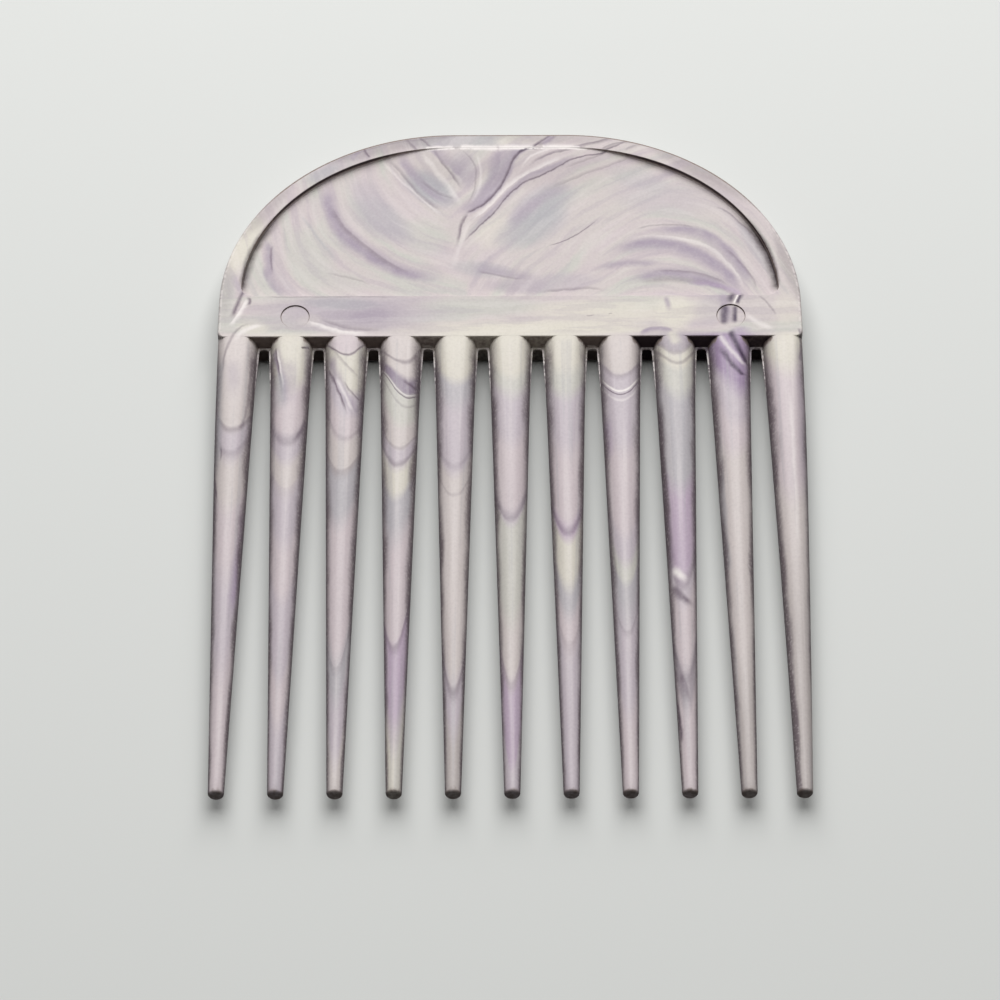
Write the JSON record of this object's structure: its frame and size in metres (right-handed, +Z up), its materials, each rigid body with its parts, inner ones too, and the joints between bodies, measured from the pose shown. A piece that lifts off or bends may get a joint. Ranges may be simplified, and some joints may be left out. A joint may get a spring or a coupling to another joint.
{
  "type": "wide-tooth hair pick",
  "caption": "Flat one-piece hair pick with a domed, rimmed handle and long round tapering teeth, in marbled plastic.",
  "frame": {"origin": "on the surface that the pick lies on, under the middle of its length and width", "axes": "+X across the teeth, +Y from the tips to the top of the handle, +Z up out of the front face"},
  "size_m": [0.091, 0.1216, 0.0064],
  "materials": {
    "marbled_plastic": "semi-gloss moulded plastic, marbled in cream, pink-grey, lilac and purple-grey"
  },
  "bodies": {
    "root": {"comb_moulding": "marbled_plastic"}
  },
  "joints": []
}
